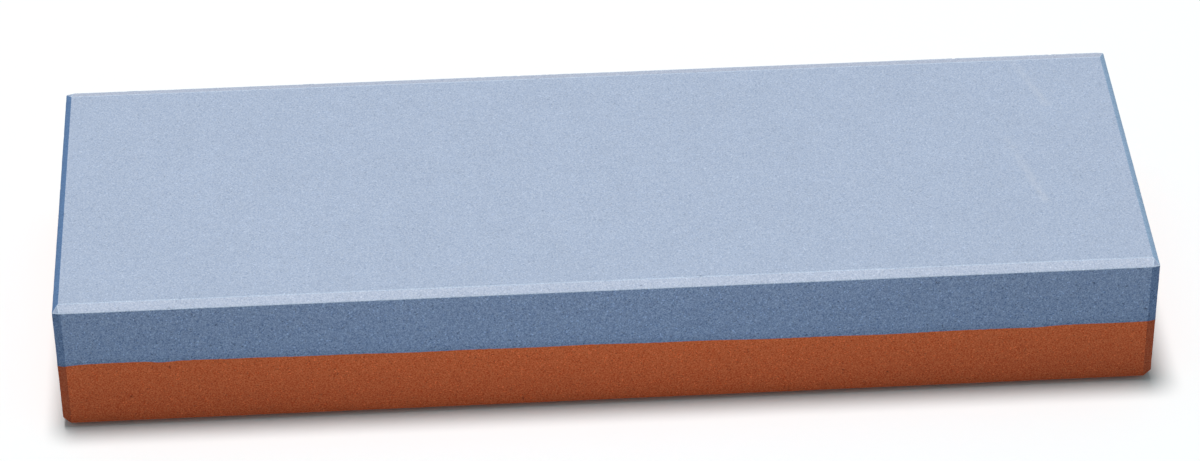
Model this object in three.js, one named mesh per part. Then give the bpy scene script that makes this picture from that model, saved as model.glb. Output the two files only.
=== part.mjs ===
// A two-grit sharpening whetstone: a coarse blue-grey layer and a fine rust-red layer, pressed and fired
// into one block. Every outer edge is ground to a shallow chamfer, so both large faces can be used.
//
// Millimetres. +X runs along the stone, +Y across it towards the back, +Z up. The origin is the middle of
// the bottom face, which is the working face of the fine layer.
import * as THREE from "three";
import { ConvexGeometry } from "three/addons/geometries/ConvexGeometry.js";

// Driving dimensions.
const LENGTH = 185;
const WIDTH = 63;
const HEIGHT = 25;

// The seam between the layers isn't quite level: it falls a little from the -X end to the +X end.
const SEAM_HEIGHT = 12.9;
const SEAM_FALL = 1;

// Chamfers round the two working faces, along the long sides and along the ends. The width is ground off
// the large face, the depth off the side or the end.
const TOP_CHAMFERS = { longWidth: 2, longDepth: 0.6, endWidth: 0.9, endDepth: 0.6 };
const BOTTOM_CHAMFERS = { longWidth: 2, longDepth: 0.9, endWidth: 1.4, endDepth: 1.9 };

// Chamfers down the four upright corners.
const CORNER_CHAMFER_ALONG_X = 1.3;
const CORNER_CHAMFER_ALONG_Y = 0.35;

const COARSE_COLOUR = 0x8fa3c0;
const FINE_COLOUR = 0x96482c;
const ABRASIVE_ROUGHNESS = 0.95;

const HALF_LENGTH = LENGTH / 2;
const HALF_WIDTH = WIDTH / 2;

// Calls makePoints(signX, signY) for each of the four corners and gathers the points it returns.
function atFourCorners(makePoints) {
  const points = [];
  for (const signX of [-1, 1]) {
    for (const signY of [-1, 1]) {
      points.push(...makePoints(signX, signY));
    }
  }
  return points;
}

// The corners of a working face at height z, which its chamfers make smaller than the block.
function faceCorners(z, chamfers) {
  return atFourCorners((signX, signY) => [
    new THREE.Vector3(
      signX * (HALF_LENGTH - chamfers.endWidth),
      signY * (HALF_WIDTH - chamfers.longWidth),
      z,
    ),
  ]);
}

// The full outline of the block with its upright corners ground off. heightOnSide and heightOnEnd give the
// height of the outline's points on the long sides and on the ends.
function sideOutline(heightOnSide, heightOnEnd) {
  return atFourCorners((signX, signY) => {
    const sideX = signX * (HALF_LENGTH - CORNER_CHAMFER_ALONG_X);
    const endX = signX * HALF_LENGTH;
    return [
      new THREE.Vector3(sideX, signY * HALF_WIDTH, heightOnSide(sideX)),
      new THREE.Vector3(endX, signY * (HALF_WIDTH - CORNER_CHAMFER_ALONG_Y), heightOnEnd(endX)),
    ];
  });
}

function seamHeight(x) {
  return SEAM_HEIGHT - (SEAM_FALL * x) / LENGTH;
}

function seamOutline() {
  return sideOutline(seamHeight, seamHeight);
}

// Coarse layer: the blue-grey upper half, from the seam to the top working face.
function coarseLayerPoints() {
  const shoulder = sideOutline(
    () => HEIGHT - TOP_CHAMFERS.longDepth,
    () => HEIGHT - TOP_CHAMFERS.endDepth,
  );
  return [...seamOutline(), ...shoulder, ...faceCorners(HEIGHT, TOP_CHAMFERS)];
}

// Fine layer: the rust-red lower half, from the bottom working face to the seam.
function fineLayerPoints() {
  const shoulder = sideOutline(
    () => BOTTOM_CHAMFERS.longDepth,
    () => BOTTOM_CHAMFERS.endDepth,
  );
  return [...faceCorners(0, BOTTOM_CHAMFERS), ...shoulder, ...seamOutline()];
}

// One layer as a mesh: each layer is convex, so it is the hull of its corners.
function layerMesh(name, points, colour) {
  const material = new THREE.MeshStandardMaterial({
    color: colour,
    roughness: ABRASIVE_ROUGHNESS,
    metalness: 0,
  });
  const mesh = new THREE.Mesh(new ConvexGeometry(points), material);
  mesh.name = name;
  return mesh;
}

const whetstone = new THREE.Group();
whetstone.add(layerMesh("fine_grit_layer", fineLayerPoints(), FINE_COLOUR));
whetstone.add(layerMesh("coarse_grit_layer", coarseLayerPoints(), COARSE_COLOUR));

export default whetstone;
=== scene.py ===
# Looks for a two-grit sharpening whetstone: two grainy layers of abrasive, worn at the edges.
import math
import random

import bmesh
import bpy
from mathutils import Matrix, Vector, kdtree, noise


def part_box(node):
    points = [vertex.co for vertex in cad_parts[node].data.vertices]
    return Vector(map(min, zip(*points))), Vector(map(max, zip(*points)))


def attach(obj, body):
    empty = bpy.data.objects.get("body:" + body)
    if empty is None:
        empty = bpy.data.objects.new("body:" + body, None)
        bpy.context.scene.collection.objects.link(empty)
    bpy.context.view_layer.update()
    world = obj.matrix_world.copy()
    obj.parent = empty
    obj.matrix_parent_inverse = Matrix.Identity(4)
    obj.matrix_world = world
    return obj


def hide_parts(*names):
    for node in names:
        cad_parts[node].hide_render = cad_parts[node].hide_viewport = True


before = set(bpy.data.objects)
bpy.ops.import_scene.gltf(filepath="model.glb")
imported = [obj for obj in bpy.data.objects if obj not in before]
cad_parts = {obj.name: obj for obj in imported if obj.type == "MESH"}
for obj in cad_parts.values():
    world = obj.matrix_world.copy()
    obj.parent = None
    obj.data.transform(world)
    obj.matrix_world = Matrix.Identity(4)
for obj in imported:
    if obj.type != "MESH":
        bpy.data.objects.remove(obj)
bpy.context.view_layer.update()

MM = 0.001
X_AXIS, Y_AXIS, Z_AXIS = range(3)

# ---------------------------------------------------------------------------------------------------------
# Sizes, in metres
# ---------------------------------------------------------------------------------------------------------

COARSE_NODE = "coarse_grit_layer"
FINE_NODE = "fine_grit_layer"

coarse_low, coarse_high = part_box(COARSE_NODE)
fine_low, fine_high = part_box(FINE_NODE)
HALF_LENGTH = coarse_high.x
HALF_WIDTH = coarse_high.y
HEIGHT = coarse_high.z
# The seam falls in a straight line from the -X end, where the fine layer is highest, to the +X end.
SEAM_HEIGHT = (fine_high.z + coarse_low.z) / 2
SEAM_FALL = fine_high.z - coarse_low.z

CORNER_CHAMFER_ALONG_X = 1.3 * MM
CORNER_CHAMFER_ALONG_Y = 0.35 * MM
# Deeper than any chamfer: between here and the seam a wall is upright.
CHAMFERED_DEPTH = 2.1 * MM


class Chamfers:
    """The chamfers round one working face. Width is ground off that face, depth off the side or the end.

    The long ones are ground by hand, so their widths at the -X and the +X end differ a little.
    """

    def __init__(self, front_widths, back_widths, long_slope, end_width, end_depth):
        self.long_widths = {-1: front_widths, 1: back_widths}
        self.long_slope = long_slope
        self.end_width = end_width
        self.end_depth = end_depth

    def long_width(self, side, x):
        at_left, at_right = self.long_widths[side]
        return at_left + (at_right - at_left) * (x + HALF_LENGTH) / (2 * HALF_LENGTH)

    def long_depth(self, side, x):
        return self.long_slope * self.long_width(side, x)


COARSE_CHAMFERS = Chamfers(
    front_widths=(1.9 * MM, 1.95 * MM),
    back_widths=(1.8 * MM, 2.4 * MM),
    long_slope=0.30,
    end_width=0.9 * MM,
    end_depth=0.6 * MM,
)
FINE_CHAMFERS = Chamfers(
    front_widths=(2.0 * MM, 2.0 * MM),
    back_widths=(2.2 * MM, 1.9 * MM),
    long_slope=0.45,
    end_width=1.4 * MM,
    end_depth=1.9 * MM,
)

# Every outer edge is rubbed a little round.
EDGE_ROUNDING = 0.12 * MM
EDGE_ROUNDING_SEGMENTS = 3

# Mesh spacing.
STEP_ALONG_X = 0.36 * MM
STEP_ALONG_Y = 1.2 * MM
STEP_ALONG_Z = 0.9 * MM
# The mesh is finer than that near the ends and near the long sides.
FINE_STEP_X = 0.3 * MM
FINE_REACH_X = 3.0 * MM
FINE_STEP_Y = 0.4 * MM
FINE_REACH_Y = 3.6 * MM
# The hidden face at the seam needs fewer rows.
SEAM_STEP_ALONG_Y = 5.0 * MM
# How close a point must be to a cut to count as on it.
CUT_TOLERANCE = 0.001 * MM
# Cuts that land this close together are welded into one.
WELD = 0.004 * MM

# Kinds of face, by how the surface was finished and which way it faces.
(
    WORKING,
    FRONT_CHAMFER,
    BACK_CHAMFER,
    LEFT_END_CHAMFER,
    RIGHT_END_CHAMFER,
    CORNER_FACET,
    SIDE,
    CORNER_STRIP,
    SEAM,
    WORN_LONG_EDGE,
    WORN_LEFT_EDGE,
    WORN_RIGHT_EDGE,
    WORN_UPRIGHT,
) = range(13)
WORN_KINDS = (WORN_LONG_EDGE, WORN_LEFT_EDGE, WORN_RIGHT_EDGE, WORN_UPRIGHT)


# ---------------------------------------------------------------------------------------------------------
# The seam between the layers
# ---------------------------------------------------------------------------------------------------------

# Height, wavelength along X and along Y, and phase in turns at the middle of the front face.
SEAM_WAVES = (
    (0.40 * MM, 230 * MM, 520 * MM, 0.57),
    (0.40 * MM, 400 * MM, -900 * MM, 0.04),
    (0.11 * MM, 80 * MM, 110 * MM, 0.21),
    (0.05 * MM, 20 * MM, -30 * MM, 0.40),
)
# Short dips in the seam: place along X, half-width and depth.
SEAM_DIPS = (
    (-92.3 * MM, 2.2 * MM, 0.26 * MM),
    (-75.0 * MM, 1.9 * MM, 0.24 * MM),
    (-63.5 * MM, 3.4 * MM, 0.12 * MM),
    (72.0 * MM, 3.2 * MM, 0.18 * MM),
)
SEAM_RAGGEDNESS = 0.07 * MM
SEAM_RAGGED_SIZE = 0.9 * MM


def seam_plane(x):
    """Height of the straight seam, before its waves."""
    return SEAM_HEIGHT - SEAM_FALL * x / (2 * HALF_LENGTH)


def seam_wave(x, y):
    """How far the seam stands above its straight line: slow waves, short dips and a ragged edge."""
    height = 0.0
    for amplitude, along_x, along_y, turns in SEAM_WAVES:
        phase = x / along_x + (y + HALF_WIDTH) / along_y + turns
        height += amplitude * math.sin(2 * math.pi * phase)
    for place, half_width, depth in SEAM_DIPS:
        height -= depth * math.exp(-(((x - place) / half_width) ** 2))
    ragged = noise.noise(Vector((x, y, 0.0)) / SEAM_RAGGED_SIZE)
    return height + SEAM_RAGGEDNESS * ragged


def bend_seam(bm, quiet_z):
    """Moves the seam to its wavy height, and the walls' rows with it, less and less up to quiet_z."""
    for vert in bm.verts:
        x, y, z = vert.co
        share = (z - quiet_z) / (seam_plane(x) - quiet_z)
        if share > 0:
            vert.co.z = z + seam_wave(x, y) * min(share, 1.0)


# ---------------------------------------------------------------------------------------------------------
# The layers' shape
# ---------------------------------------------------------------------------------------------------------


def layer_corners(face_z, inward, chamfers):
    """The corner points of one layer. inward is +1 or -1, the way from its working face to the seam."""
    points = []
    for sign_x in (-1, 1):
        for sign_y in (-1, 1):
            face_x = sign_x * (HALF_LENGTH - chamfers.end_width)
            face_y = sign_y * (HALF_WIDTH - chamfers.long_width(sign_y, face_x))
            side_x = sign_x * (HALF_LENGTH - CORNER_CHAMFER_ALONG_X)
            side_y = sign_y * HALF_WIDTH
            end_x = sign_x * HALF_LENGTH
            end_y = sign_y * (HALF_WIDTH - CORNER_CHAMFER_ALONG_Y)
            points += [
                (face_x, face_y, face_z),
                (side_x, side_y, face_z + inward * chamfers.long_depth(sign_y, side_x)),
                (end_x, end_y, face_z + inward * chamfers.end_depth),
                (side_x, side_y, seam_plane(side_x)),
                (end_x, end_y, seam_plane(end_x)),
            ]
    return points


# A unit normal's share along an axis when a face looks straight along it, and when hardly at all.
STRAIGHT = 0.999
HARDLY = 0.02
# The same share when an edge's rounding still looks sideways rather than up.
SIDEWAYS = 0.2
NEAR_SEAM = 0.2 * HEIGHT


def face_kind(normal, height):
    """Which part of the stone a flat face is, from the way it faces and how high it is."""
    across, along, up = abs(normal.y), abs(normal.x), abs(normal.z)
    if up > STRAIGHT:
        at_seam = abs(height - SEAM_HEIGHT) < NEAR_SEAM
        return SEAM if at_seam else WORKING
    if up < HARDLY:
        return SIDE if max(across, along) > STRAIGHT else CORNER_STRIP
    if along < HARDLY:
        return BACK_CHAMFER if normal.y > 0 else FRONT_CHAMFER
    if across < HARDLY:
        return RIGHT_END_CHAMFER if normal.x > 0 else LEFT_END_CHAMFER
    return CORNER_FACET


def worn_kind(normal):
    """Which edge a rounded-off face belongs to, from the way it faces."""
    if abs(normal.z) < SIDEWAYS:
        return WORN_UPRIGHT
    if abs(normal.y) > abs(normal.x):
        return WORN_LONG_EDGE
    return WORN_RIGHT_EDGE if normal.x > 0 else WORN_LEFT_EDGE


def block_bmesh(corners):
    """One closed layer: flat faces tagged by kind, and rounded edges everywhere but at the seam."""
    bm = bmesh.new()
    for corner in corners:
        bm.verts.new(corner)
    bmesh.ops.convex_hull(bm, input=bm.verts)
    bmesh.ops.dissolve_limit(bm, angle_limit=math.radians(1), verts=bm.verts, edges=bm.edges)
    bm.normal_update()
    kind = bm.faces.layers.int.new("kind")
    for face in bm.faces:
        face[kind] = face_kind(face.normal, face.calc_center_median().z)
    outer_edges = [e for e in bm.edges if not any(f[kind] == SEAM for f in e.link_faces)]
    rounded = bmesh.ops.bevel(
        bm,
        geom=outer_edges,
        offset=EDGE_ROUNDING,
        offset_type="OFFSET",
        segments=EDGE_ROUNDING_SEGMENTS,
        profile=0.5,
        affect="EDGES",
        clamp_overlap=True,
    )
    bm.normal_update()
    for face in rounded["faces"]:
        face[kind] = worn_kind(face.normal)
    return bm, kind


def slice_across(bm, axis, positions, faces):
    """Cuts the given faces with planes across one axis, so that they can carry waves and chips."""
    normal = Vector((0, 0, 0))
    normal[axis] = 1
    ahead = list(faces)
    for position in sorted(positions):
        geometry = dict.fromkeys(ahead)
        for face in ahead:
            geometry.update(dict.fromkeys(face.edges))
            geometry.update(dict.fromkeys(face.verts))
        cut = bmesh.ops.bisect_plane(
            bm, geom=list(geometry), dist=CUT_TOLERANCE, plane_co=normal * position, plane_no=normal
        )
        found = [g for g in cut["geom"] if isinstance(g, bmesh.types.BMFace)]
        ahead = [f for f in found if max(v.co[axis] for v in f.verts) > position + CUT_TOLERANCE]


def spaced(low, high, step):
    """Even positions strictly between low and high."""
    count = max(1, round((high - low) / step))
    return [low + (high - low) * i / count for i in range(1, count)]


def near_and_far(half, fine_reach, fine_step, step):
    """Positions across the stone: close together near both edges, wider apart between."""
    inner = half - fine_reach
    edge = spaced(inner, half, fine_step)
    return [-p for p in edge] + [-inner] + spaced(-inner, inner, step) + [inner] + edge


def slice_layer(bm, kind, quiet_z):
    """Cuts one layer into a grid: rows up its walls, rows across Y, and rows along X."""
    seam_side = SEAM_HEIGHT + math.copysign(SEAM_FALL, quiet_z - SEAM_HEIGHT)
    rows_z = spaced(min(quiet_z, seam_side), max(quiet_z, seam_side), STEP_ALONG_Z)
    upright = (SIDE, CORNER_STRIP, *WORN_KINDS)
    slice_across(bm, Z_AXIS, rows_z, [f for f in bm.faces if f[kind] in upright])
    rows_y = near_and_far(HALF_WIDTH, FINE_REACH_Y, FINE_STEP_Y, STEP_ALONG_Y)
    slice_across(bm, Y_AXIS, rows_y, [f for f in bm.faces if f[kind] != SEAM])
    seam_rows = spaced(-HALF_WIDTH, HALF_WIDTH, SEAM_STEP_ALONG_Y)
    slice_across(bm, Y_AXIS, seam_rows, [f for f in bm.faces if f[kind] == SEAM])
    rows_x = near_and_far(HALF_LENGTH, FINE_REACH_X, FINE_STEP_X, STEP_ALONG_X)
    slice_across(bm, X_AXIS, rows_x, bm.faces)


def settle_order(bm):
    """Puts edges and faces in an order that is the same on every run: by the numbers of their points."""
    bm.verts.index_update()
    for elements in (bm.edges, bm.faces):
        ordered = sorted(elements, key=lambda element: sorted(v.index for v in element.verts))
        for index, element in enumerate(ordered):
            element.index = index
        elements.sort()


# ---------------------------------------------------------------------------------------------------------
# Wear: small scoops out of the surface, and edges rubbed a little unevenly
# ---------------------------------------------------------------------------------------------------------

# What is hollowed: kinds of face, how many scoops, their half-widths in mm, and their depths as shares of
# the half-width.
SCOOPED = (
    ((WORKING,), 12, (0.10, 0.18), (0.30, 0.50)),
    ((SIDE, FRONT_CHAMFER, BACK_CHAMFER), 26, (0.12, 0.30), (0.35, 0.60)),
    (WORN_KINDS, 40, (0.15, 0.42), (0.25, 0.40)),
)
# Faces this far beyond a scoop's rim are split as well.
SCOOP_MARGIN = 0.6 * STEP_ALONG_Y
SCOOP_CUTS = 3
SCOOP_ROUGHNESS = 0.25
SCOOP_GRIT_SIZE = 0.12 * MM
# How deep the edges are rubbed, in slow waves and in quick ones, and how long those waves are.
SLOW_RUB = 0.035 * MM
SLOW_RUB_SIZE = 2.5 * MM
QUICK_RUB = 0.030 * MM
QUICK_RUB_SIZE = 0.45 * MM


class Scoop:
    """A ball that bites a small hollow out of the surface: the ball's middle stands off the surface."""

    def __init__(self, point, outward, mouth, depth):
        self.point = point
        self.mouth = mouth
        self.depth = depth
        self.radius = (mouth**2 + depth**2) / (2 * depth)
        self.middle = point + outward * (self.radius - depth)


def choose_scoops(bm, kind, dice):
    """Picks faces at random for pits on the flat faces and for chips along the worn edges."""
    scoops = []
    for kinds, count, mouths, depths in SCOOPED:
        faces = [f for f in bm.faces if f[kind] in kinds]
        areas = [f.calc_area() for f in faces]
        for face in dice.choices(faces, weights=areas, k=count):
            mouth = dice.uniform(*mouths) * MM
            depth = mouth * dice.uniform(*depths)
            scoops.append(Scoop(face.calc_center_median(), face.normal.copy(), mouth, depth))
    return scoops


def tree_of(points):
    """The points, sorted so that those near a place are found quickly."""
    tree = kdtree.KDTree(len(points))
    for index, point in enumerate(points):
        tree.insert(point, index)
    tree.balance()
    return tree


def refine_round(bm, scoops):
    """Splits the faces round each scoop finely enough to hold its shape."""
    faces = list(bm.faces)
    tree = tree_of([f.calc_center_median() for f in faces])
    edges = {}
    for scoop in scoops:
        for _, index, _ in tree.find_range(scoop.point, scoop.mouth + SCOOP_MARGIN):
            edges.update(dict.fromkeys(faces[index].edges))
    bmesh.ops.subdivide_edges(bm, edges=list(edges), cuts=SCOOP_CUTS, use_grid_fill=True)


def carve(bm, scoops, pore):
    """Pushes the surface out of each scoop's ball, and notes how deep each point went."""
    verts = list(bm.verts)
    tree = tree_of([v.co for v in verts])
    for scoop in scoops:
        for co, index, _ in tree.find_range(scoop.middle, scoop.radius):
            grit = noise.noise(co / SCOOP_GRIT_SIZE)
            target = scoop.middle + (co - scoop.middle).normalized() * scoop.radius
            vert = verts[index]
            moved = (target - co) * (1 - SCOOP_ROUGHNESS * abs(grit))
            vert.co = co + moved
            vert[pore] = max(vert[pore], min(1.0, moved.length / scoop.depth))


def rub_edges(bm, kind):
    """Lowers the rounded edges unevenly, by hundredths of a millimetre."""
    bm.normal_update()
    worn = dict.fromkeys(v for f in bm.faces if f[kind] in WORN_KINDS for v in f.verts)
    for vert in worn:
        if any(f[kind] == SEAM for f in vert.link_faces):
            continue
        slow = 0.5 + 0.5 * noise.noise(vert.co / SLOW_RUB_SIZE)
        quick = abs(noise.noise(vert.co / QUICK_RUB_SIZE))
        vert.co -= vert.normal * (SLOW_RUB * slow + QUICK_RUB * quick)


# Masks that the materials read, and the kinds of face that each one covers.
MASKS = {
    "lapped": (WORKING,),
    "front_chamfer": (FRONT_CHAMFER,),
    "back_chamfer": (BACK_CHAMFER,),
    "left_end_chamfer": (LEFT_END_CHAMFER, WORN_LEFT_EDGE),
    "right_end_chamfer": (RIGHT_END_CHAMFER, WORN_RIGHT_EDGE),
    "corner": (CORNER_STRIP, WORN_UPRIGHT),
    "facet": (CORNER_FACET,),
    "worn": (WORN_LONG_EDGE,),
}
GROUND_MASKS = [name for name in MASKS if name != "corner"]


def write_masks(mesh):
    """One face attribute for each mask: 1 on the faces that it covers, 0 elsewhere."""
    kinds = [item.value for item in mesh.attributes["kind"].data]
    for name, covered in MASKS.items():
        mask = mesh.attributes.new(name, "FLOAT", "FACE")
        mask.data.foreach_set("value", [float(k in covered) for k in kinds])


def write_seam_distance(mesh):
    """Each point's height above the wavy seam, in mm, for the material."""
    distance = mesh.attributes.new("above_seam", "FLOAT", "POINT")
    heights = [(v.co.z - seam_plane(v.co.x) - seam_wave(v.co.x, v.co.y)) / MM for v in mesh.vertices]
    distance.data.foreach_set("value", heights)


def make_layer(name, node, face_z, inward, chamfers, seed):
    """One layer, from its working face at face_z to the seam, in place of the CAD node."""
    bm, kind = block_bmesh(layer_corners(face_z, inward, chamfers))
    quiet_z = face_z + inward * CHAMFERED_DEPTH
    slice_layer(bm, kind, quiet_z)
    bmesh.ops.remove_doubles(bm, verts=bm.verts, dist=WELD)
    settle_order(bm)
    pore = bm.verts.layers.float.new("pore")
    bm.normal_update()
    scoops = choose_scoops(bm, kind, random.Random(seed))
    refine_round(bm, scoops)
    rub_edges(bm, kind)
    carve(bm, scoops, pore)
    bend_seam(bm, quiet_z)
    bm.normal_update()
    mesh = bpy.data.meshes.new(name)
    bm.to_mesh(mesh)
    bm.free()
    write_masks(mesh)
    write_seam_distance(mesh)
    layer = bpy.data.objects.new(name, mesh)
    bpy.context.scene.collection.objects.link(layer)
    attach(layer, "root")
    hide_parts(node)
    return layer


# ---------------------------------------------------------------------------------------------------------
# Building a material's nodes
# ---------------------------------------------------------------------------------------------------------


class Nodes:
    """Short calls for building one material's nodes."""

    def __init__(self, name):
        self.material = bpy.data.materials.new(name)
        self.material.use_nodes = True
        self.tree = self.material.node_tree
        self.tree.nodes.clear()

    def feed(self, socket, value):
        if isinstance(value, bpy.types.NodeSocket):
            self.tree.links.new(value, socket)
        else:
            socket.default_value = value

    def add(self, kind, settings=None, **inputs):
        node = self.tree.nodes.new(kind)
        for key, value in (settings or {}).items():
            setattr(node, key, value)
        for key, value in inputs.items():
            self.feed(node.inputs[key.replace("_", " ")], value)
        return node

    def math(self, operation, first, second=0.0, third=0.0):
        node = self.tree.nodes.new("ShaderNodeMath")
        node.operation = operation
        for socket, value in zip(node.inputs, (first, second, third)):
            self.feed(socket, value)
        return node.outputs[0]

    def vector(self, operation, first, second=None, out="Vector", **inputs):
        node = self.add("ShaderNodeVectorMath", {"operation": operation}, **inputs)
        self.feed(node.inputs[0], first)
        if second is not None:
            self.feed(node.inputs[1], second)
        return node.outputs[out]

    def product(self, *factors):
        total = factors[0]
        for factor in factors[1:]:
            total = self.math("MULTIPLY", total, factor)
        return total

    def ranged(self, value, low, high, to_low, to_high, smooth=False):
        """value from low..high, clamped, as to_low..to_high."""
        node = self.tree.nodes.new("ShaderNodeMapRange")
        node.interpolation_type = "SMOOTHSTEP" if smooth else "LINEAR"
        for socket, number in zip(node.inputs, (value, low, high, to_low, to_high)):
            self.feed(socket, number)
        return node.outputs[0]

    def mix(self, share, first, second, blend="MIX"):
        node = self.tree.nodes.new("ShaderNodeMix")
        node.data_type = "RGBA"
        node.blend_type = blend
        factor, first_socket, second_socket = (
            [s for s in node.inputs if s.name == name and s.enabled][0] for name in ("Factor", "A", "B")
        )
        self.feed(factor, share)
        self.feed(first_socket, first)
        self.feed(second_socket, second)
        return [s for s in node.outputs if s.enabled][0]

    def tint(self, colour, factor):
        """The colour with all three channels multiplied by one factor."""
        grey = self.add("ShaderNodeCombineColor", Red=factor, Green=factor, Blue=factor).outputs[0]
        return self.mix(1.0, colour, grey, "MULTIPLY")

    def mask(self, name):
        return self.add("ShaderNodeAttribute", {"attribute_name": name}).outputs["Fac"]

    def noise(self, where, per_mm, detail=2.0, roughness=0.5):
        return self.add(
            "ShaderNodeTexNoise", Vector=where, Scale=per_mm, Detail=detail, Roughness=roughness
        ).outputs["Fac"]

    def cells(self, where, per_mm):
        """Voronoi cells: the distance to the nearest middle, and two random numbers for each cell."""
        node = self.add("ShaderNodeTexVoronoi", Vector=where, Scale=per_mm)
        split = self.add("ShaderNodeSeparateColor", Color=node.outputs["Color"])
        return node.outputs["Distance"], split.outputs[0], split.outputs[1]

    def finish(self, shader):
        out = self.add("ShaderNodeOutputMaterial")
        self.tree.links.new(shader.outputs[0], out.inputs["Surface"])
        return self.material


def srgb(red, green, blue):
    """A colour given as 0 to 255 sRGB, in the linear light that the shader wants."""

    def linear(value):
        value /= 255
        return value / 12.92 if value <= 0.04045 else ((value + 0.055) / 1.055) ** 2.4

    return (linear(red), linear(green), linear(blue), 1.0)


# ---------------------------------------------------------------------------------------------------------
# The abrasive's material. All its lengths are in mm
# ---------------------------------------------------------------------------------------------------------

# Nearly all the values of a noise lie between these.
NOISE_LOW = 0.3
NOISE_HIGH = 0.7

# Grains. They are turned, so that the noise's own grid lines up with none of the flat faces.
GRAIN_TURN = (0.5, 0.4, 0.6)
GRAIN_NOISE = {"detail": 2.0, "roughness": 0.75}
# Crystals are cells a little smaller than a grain, each with a random number from 0 to 1.
CRYSTALS_PER_GRAIN = 1.1
# Painted glint: crystals above GLINT_ABOVE are brighter in the colour.
GLINT_ABOVE = 0.92
GLINT_GAIN = 0.35
# Painted shade: crystals below GAP_BELOW have fallen out, and their gaps are darker in the colour.
GAP_BELOW = 0.07
GAP_LOSS = 0.35

# Soft patches of slightly richer and poorer mix: broad clouds and small blotches.
CLOUDS = {"per_mm": 0.08, "detail": 3.0, "swing": 0.015}
BLOTCHES = {"per_mm": 0.7, "detail": 2.0, "swing": 0.02}

# Pores too fine for the mesh: a round dot in those cells whose random number is above PORE_ABOVE. A dot is
# at its deepest inside PORE_FLOOR from its outline, and has faded out at PORE_RIM, in cell widths.
PORE_CELLS_PER_MM = 0.45
PORE_ABOVE = 0.55
PORE_CERTAIN = 0.56
PORE_WIDEST = 0.08
PORE_FLOOR = -0.03
PORE_RIM = 0.02
PORE_DEPTH = 0.75
PORES_ON_GROUND = 0.35
# Painted shade in a hollow: how dark it is, on ground faces and on raw walls.
HOLLOW_SHADE_GROUND = 0.2
HOLLOW_SHADE_RAW = 0.45

# Painted light and shade: the raw walls are a little lighter near the middle of the stone and grow darker
# towards its ends.
END_SHADE_FROM = 15.0
END_SHADE_TO = 95.0
SHADE_AT_MIDDLE = 1.03
SHADE_AT_END = 0.92

# The seam's own tint is full up to the first distance from it, and gone at the second.
SEAM_FULL = 0.15
SEAM_GONE = 1.6

# Scuffs are broken up: they catch only the high spots.
SCUFF_COLOUR = srgb(205, 208, 216)
SCUFF_WIDTH = 1.3
SCUFF_STRENGTH = 0.28
SCUFF_WEAKEST = 0.1
SCUFF_START_SHARE = 0.5
HIGH_SPOTS = {"per_mm": 1.3, "detail": 3.0, "roughness": 0.6}
SPOT_LOW = 0.35
SPOT_HIGH = 0.65

# Relief and sheen. The bump's height alone is in metres.
BUMP_STRENGTH = 0.5
BUMP_HEIGHT = 0.05 * MM
CRYSTAL_RELIEF = 0.35
ROUGH_LOW_GRAIN = 0.95
ROUGH_HIGH_GRAIN = 0.78
SPECULAR = 0.35


class Grit:
    """How one layer's abrasive looks.

    The walls' colour changes between wall_heights. The two grain numbers are the share of full contrast on
    ground faces and on raw walls. Scuffs are pale strokes on the working face, from one point to another.
    Lengths are in mm.
    """

    def __init__(
        self,
        colours,
        wall_heights,
        grain_per_mm,
        ground_grain,
        wall_grain,
        dark_grain,
        light_grain,
        seam_tint,
        scuffs,
    ):
        self.colours = colours
        self.wall_heights = wall_heights
        self.grain_per_mm = grain_per_mm
        self.ground_grain = ground_grain
        self.wall_grain = wall_grain
        self.dark_grain = dark_grain
        self.light_grain = light_grain
        self.seam_tint = seam_tint
        self.scuffs = scuffs


def ground_share(n):
    """1 on every face that was ground or lapped, 0 on the raw walls."""
    share = n.mask(GROUND_MASKS[0])
    for mask in GROUND_MASKS[1:]:
        share = n.math("ADD", share, n.mask(mask))
    return share


def face_colour_with_painted_light(n, colours, height):
    """The colour of each kind of face: raw walls, which change with height, then ground faces and worn
    edges, some with painted sheen, light and shade.
    """
    colour = n.mix(height, colours["wall_low"], colours["wall_high"])
    for mask in MASKS:
        colour = n.mix(n.mask(mask), colour, colours[mask])
    return colour


def seam_share(n):
    """1 right at the seam, and less and less away from it."""
    from_seam = n.math("ABSOLUTE", n.mask("above_seam"))
    return n.ranged(from_seam, SEAM_FULL, SEAM_GONE, 1.0, 0.0, smooth=True)


def grain_tint(n, grit, grain, contrast):
    """What the grains multiply the colour by: dark ones and pale ones each have a tint of their own."""
    swing = n.math("MULTIPLY", n.ranged(grain, NOISE_LOW, NOISE_HIGH, -0.5, 0.5), contrast)
    return n.mix(n.math("ADD", swing, 0.5), grit.dark_grain, grit.light_grain)


def painted_glint(n, crystal, contrast):
    """Painted glint: a few crystals are brighter in the colour."""
    gain = n.ranged(crystal, GLINT_ABOVE, 1.0, 0.0, GLINT_GAIN)
    return n.math("MULTIPLY_ADD", gain, contrast, 1.0)


def gap_painted_shade(n, crystal, contrast):
    """Painted shade: a few crystals have fallen out, and the gaps they left are darker."""
    loss = n.ranged(crystal, 0.0, GAP_BELOW, -GAP_LOSS, 0.0)
    return n.math("MULTIPLY_ADD", loss, contrast, 1.0)


def mottled(n, where, per_mm, detail, swing):
    """Soft patches, brighter and darker by the same swing."""
    return n.ranged(n.noise(where, per_mm, detail), NOISE_LOW, NOISE_HIGH, 1 - swing, 1 + swing)


def fine_pores(n, where, raw):
    """How deep each place lies in a pore that is too fine for the mesh."""
    from_middle, _, chance = n.cells(where, PORE_CELLS_PER_MM)
    size = n.ranged(chance, PORE_ABOVE, 1.0, 0.0, PORE_WIDEST)
    from_outline = n.math("SUBTRACT", from_middle, size)
    dot = n.ranged(from_outline, PORE_FLOOR, PORE_RIM, PORE_DEPTH, 0.0)
    has_pore = n.ranged(chance, PORE_ABOVE, PORE_CERTAIN, 0.0, 1.0)
    return n.product(dot, has_pore, n.ranged(raw, 0.0, 1.0, PORES_ON_GROUND, 1.0))


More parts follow.
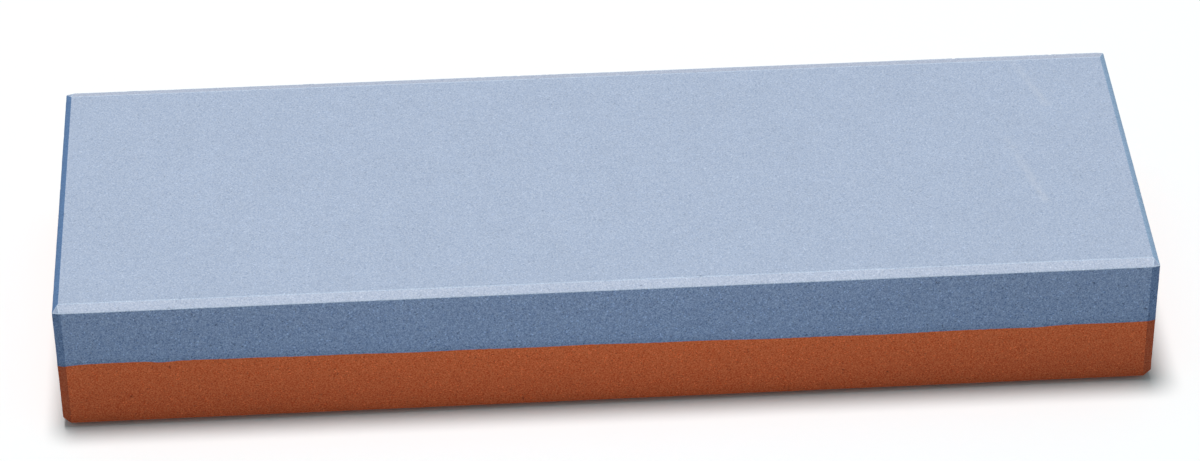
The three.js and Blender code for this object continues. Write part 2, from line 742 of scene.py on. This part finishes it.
def hollow_painted_shade(n, hollow, raw):
    """Painted shade: pits and pores are darker than the surface, most of all on raw walls."""
    loss = n.ranged(raw, 0.0, 1.0, HOLLOW_SHADE_GROUND, HOLLOW_SHADE_RAW)
    return n.math("SUBTRACT", 1.0, n.math("MULTIPLY", hollow, loss))


def end_painted_shade(n, along, raw):
    """Painted shade: darkens the raw walls, and only those, towards both ends."""
    from_middle = n.math("ABSOLUTE", along)
    shade = n.ranged(from_middle, END_SHADE_FROM, END_SHADE_TO, SHADE_AT_MIDDLE, SHADE_AT_END, smooth=True)
    return n.math("ADD", n.math("MULTIPLY", n.math("SUBTRACT", shade, 1.0), raw), 1.0)


def stroke(n, where, start, end):
    """How strongly a scuff marks each place: most along its middle and at its far end."""
    start, end = Vector(start), Vector(end)
    length = (end - start).length
    direction = (end - start) / length
    from_start = n.vector("SUBTRACT", where, start)
    along = n.vector("DOT_PRODUCT", from_start, direction, out="Value")
    nearest = n.vector("SCALE", direction, Scale=n.ranged(along, 0.0, length, 0.0, length))
    distance = n.vector("LENGTH", n.vector("SUBTRACT", from_start, nearest), out="Value")
    fade = n.ranged(along, 0.0, length, SCUFF_START_SHARE, 1.0)
    return n.product(n.ranged(distance, 0.0, SCUFF_WIDTH, 1.0, 0.0, smooth=True), fade)


def scuffed(n, where, colour, scuffs):
    """The colour with pale scuffs over it."""
    caught = n.ranged(n.noise(where, **HIGH_SPOTS), SPOT_LOW, SPOT_HIGH, SCUFF_WEAKEST, SCUFF_STRENGTH)
    for start, end in scuffs:
        marked = n.math("MULTIPLY", stroke(n, where, start, end), caught)
        colour = n.mix(marked, colour, SCUFF_COLOUR)
    return colour


def abrasive(name, grit):
    """Bonded grit, in object coordinates scaled to millimetres."""
    n = Nodes(name)
    mm = n.vector("SCALE", n.add("ShaderNodeTexCoord").outputs["Object"], Scale=1 / MM)
    place = n.add("ShaderNodeSeparateXYZ", Vector=mm)
    ground = ground_share(n)
    raw = n.math("SUBTRACT", 1.0, ground)

    turned = n.add("ShaderNodeMapping", Vector=mm, Rotation=GRAIN_TURN).outputs[0]
    grain = n.noise(turned, grit.grain_per_mm, **GRAIN_NOISE)
    _, crystal, _ = n.cells(turned, grit.grain_per_mm * CRYSTALS_PER_GRAIN)
    contrast = n.ranged(ground, 0.0, 1.0, grit.wall_grain, grit.ground_grain)
    hollow = n.math("MAXIMUM", fine_pores(n, mm, raw), n.mask("pore"))
    shade = n.product(
        mottled(n, mm, **CLOUDS),
        mottled(n, mm, **BLOTCHES),
        painted_glint(n, crystal, contrast),
        gap_painted_shade(n, crystal, contrast),
        hollow_painted_shade(n, hollow, raw),
        end_painted_shade(n, place.outputs["X"], raw),
    )

    # Painted shade: the walls are darker at the lower of wall_heights than at the higher.
    height = n.ranged(place.outputs["Z"], *grit.wall_heights, 0.0, 1.0)
    colour = face_colour_with_painted_light(n, grit.colours, height)
    colour = n.mix(seam_share(n), colour, grit.seam_tint, "MULTIPLY")
    colour = n.mix(1.0, colour, grain_tint(n, grit, grain, contrast), "MULTIPLY")
    colour = scuffed(n, mm, n.tint(colour, shade), grit.scuffs)

    relief = n.math("SUBTRACT", n.math("MULTIPLY_ADD", crystal, CRYSTAL_RELIEF, grain), hollow)
    bump = n.add("ShaderNodeBump", Strength=BUMP_STRENGTH, Distance=BUMP_HEIGHT, Height=relief)
    shader = n.add(
        "ShaderNodeBsdfPrincipled",
        Base_Color=colour,
        Roughness=n.ranged(grain, NOISE_LOW, NOISE_HIGH, ROUGH_LOW_GRAIN, ROUGH_HIGH_GRAIN),
        Normal=bump.outputs[0],
        Specular_IOR_Level=SPECULAR,
    )
    return n.finish(shader)


COARSE_GRIT = Grit(
    colours={
        # Painted shade: the walls are darker low down than high up.
        "wall_low": srgb(123, 145, 181),
        "wall_high": srgb(131, 151, 186),
        # Partly the lapped finish, partly painted sheen: the working face and the long chamfers are paler.
        "lapped": srgb(166, 178, 200),
        "front_chamfer": srgb(181, 190, 210),
        "back_chamfer": srgb(174, 181, 199),
        # Painted shade on the left end chamfer and on the corner strips, painted light on the right end
        # chamfer.
        "left_end_chamfer": srgb(89, 119, 160),
        "right_end_chamfer": srgb(136, 161, 189),
        "corner": srgb(96, 120, 158),
        "facet": srgb(152, 165, 189),
        "worn": srgb(185, 198, 218),
    },
    wall_heights=(13.0, 24.0),
    grain_per_mm=3.8,
    ground_grain=0.48,
    wall_grain=1.08,
    dark_grain=(0.45, 0.55, 0.69, 1.0),
    light_grain=(1.55, 1.45, 1.31, 1.0),
    seam_tint=(0.84, 0.86, 0.88, 1.0),
    scuffs=(
        ((75.8, 29.0, 25.0), (79.8, 15.5, 25.0)),
        ((71.6, 5.5, 25.0), (75.6, -12.0, 25.0)),
    ),
)
FINE_GRIT = Grit(
    colours={
        # Painted shade: the walls are darker low down than high up.
        "wall_low": srgb(177, 82, 42),
        "wall_high": srgb(198, 96, 51),
        "lapped": srgb(196, 112, 76),
        "front_chamfer": srgb(186, 98, 60),
        "back_chamfer": srgb(186, 98, 60),
        # Painted shade: the end chamfers, the corner strips and the facets are darker than the walls.
        "left_end_chamfer": srgb(150, 72, 42),
        "right_end_chamfer": srgb(150, 72, 42),
        "corner": srgb(158, 73, 39),
        "facet": srgb(150, 72, 42),
        "worn": srgb(178, 88, 52),
    },
    wall_heights=(1.0, 12.0),
    grain_per_mm=4.2,
    ground_grain=0.48,
    wall_grain=1.05,
    dark_grain=(0.78, 0.42, 0.08, 1.0),
    light_grain=(1.22, 1.58, 1.92, 1.0),
    seam_tint=(1.0, 1.0, 1.0, 1.0),
    scuffs=(),
)


# ---------------------------------------------------------------------------------------------------------
# Build the stone
# ---------------------------------------------------------------------------------------------------------

coarse = make_layer("coarse_abrasive", COARSE_NODE, HEIGHT, -1, COARSE_CHAMFERS, seed=11)
coarse.data.materials.append(abrasive("coarse_grit", COARSE_GRIT))

fine = make_layer("fine_abrasive", FINE_NODE, 0.0, 1, FINE_CHAMFERS, seed=23)
fine.data.materials.append(abrasive("fine_grit", FINE_GRIT))


# ---------------------------------------------------------------------------------------------------------
# Floor, light and camera
# ---------------------------------------------------------------------------------------------------------

FLOOR_HALF = 3.0
FLOOR_GREY = 0.93
FLOOR_ROUGHNESS = 0.9
# The sky is a little cool, which takes most of the rust layer's own red out of the shadow beside it.
SKY_COLOUR = (0.76, 1.0, 1.05, 1.0)
SKY_STRENGTH = 0.26
# One round softbox, nearly overhead: a little behind the stone and to its left.
SOFTBOX_PLACE = (-0.06, 0.135, 1.6)
SOFTBOX_SIZE = 0.42
SOFTBOX_WATTS = 22.1
SOFTBOX_COLOUR = (1.03, 1.0, 0.99)
SOFTBOX_TARGET = Vector((0, 0, 0))


def make_floor():
    corners = [(-1, -1), (1, -1), (1, 1), (-1, 1)]
    mesh = bpy.data.meshes.new("floor")
    mesh.from_pydata([(x * FLOOR_HALF, y * FLOOR_HALF, 0) for x, y in corners], [], [(0, 1, 2, 3)])
    floor = bpy.data.objects.new("floor", mesh)
    bpy.context.scene.collection.objects.link(floor)
    n = Nodes("pale_floor")
    grey = (FLOOR_GREY, FLOOR_GREY, FLOOR_GREY, 1.0)
    shader = n.add(
        "ShaderNodeBsdfPrincipled", Base_Color=grey, Roughness=FLOOR_ROUGHNESS, Specular_IOR_Level=0.0
    )
    mesh.materials.append(n.finish(shader))


def make_softbox():
    data = bpy.data.lights.new("softbox", "AREA")
    data.shape = "DISK"
    data.size = SOFTBOX_SIZE
    data.energy = SOFTBOX_WATTS
    data.color = SOFTBOX_COLOUR
    lamp = bpy.data.objects.new("softbox", data)
    lamp.location = SOFTBOX_PLACE
    lamp.rotation_euler = (SOFTBOX_TARGET - lamp.location).to_track_quat("-Z", "Y").to_euler()
    bpy.context.scene.collection.objects.link(lamp)


def make_sky():
    world = bpy.data.worlds.new("studio")
    world.use_nodes = True
    background = world.node_tree.nodes["Background"]
    background.inputs["Color"].default_value = SKY_COLOUR
    background.inputs["Strength"].default_value = SKY_STRENGTH
    bpy.context.scene.world = world


# The camera stands in front of the stone, a little to its left, and looks down at its middle.
CAMERA_AZIMUTH = math.radians(-3.11)
CAMERA_ELEVATION = math.radians(37.3)
CAMERA_ROLL = math.radians(-0.55)
CAMERA_DISTANCE = 743.8 * MM
CAMERA_TARGET = Vector((0.26, 0.0, 12.98)) * MM
CAMERA_LENS = 128.3
CAMERA_SENSOR = 36.0


def make_camera():
    out = Vector((
        math.sin(CAMERA_AZIMUTH) * math.cos(CAMERA_ELEVATION),
        -math.cos(CAMERA_AZIMUTH) * math.cos(CAMERA_ELEVATION),
        math.sin(CAMERA_ELEVATION),
    ))
    level = Vector((math.cos(CAMERA_AZIMUTH), math.sin(CAMERA_AZIMUTH), 0.0))
    upright = out.cross(level)
    right = level * math.cos(CAMERA_ROLL) + upright * math.sin(CAMERA_ROLL)
    up = upright * math.cos(CAMERA_ROLL) - level * math.sin(CAMERA_ROLL)
    data = bpy.data.cameras.new("camera")
    data.lens = CAMERA_LENS
    data.sensor_width = CAMERA_SENSOR
    camera = bpy.data.objects.new("camera", data)
    turn = Matrix((right, up, out)).transposed().to_4x4()
    camera.matrix_world = Matrix.Translation(CAMERA_TARGET + out * CAMERA_DISTANCE) @ turn
    bpy.context.scene.collection.objects.link(camera)
    bpy.context.scene.camera = camera


make_floor()
make_softbox()
make_sky()
make_camera()
bpy.context.scene.view_settings.view_transform = "Standard"
bpy.context.scene.view_settings.look = "None"
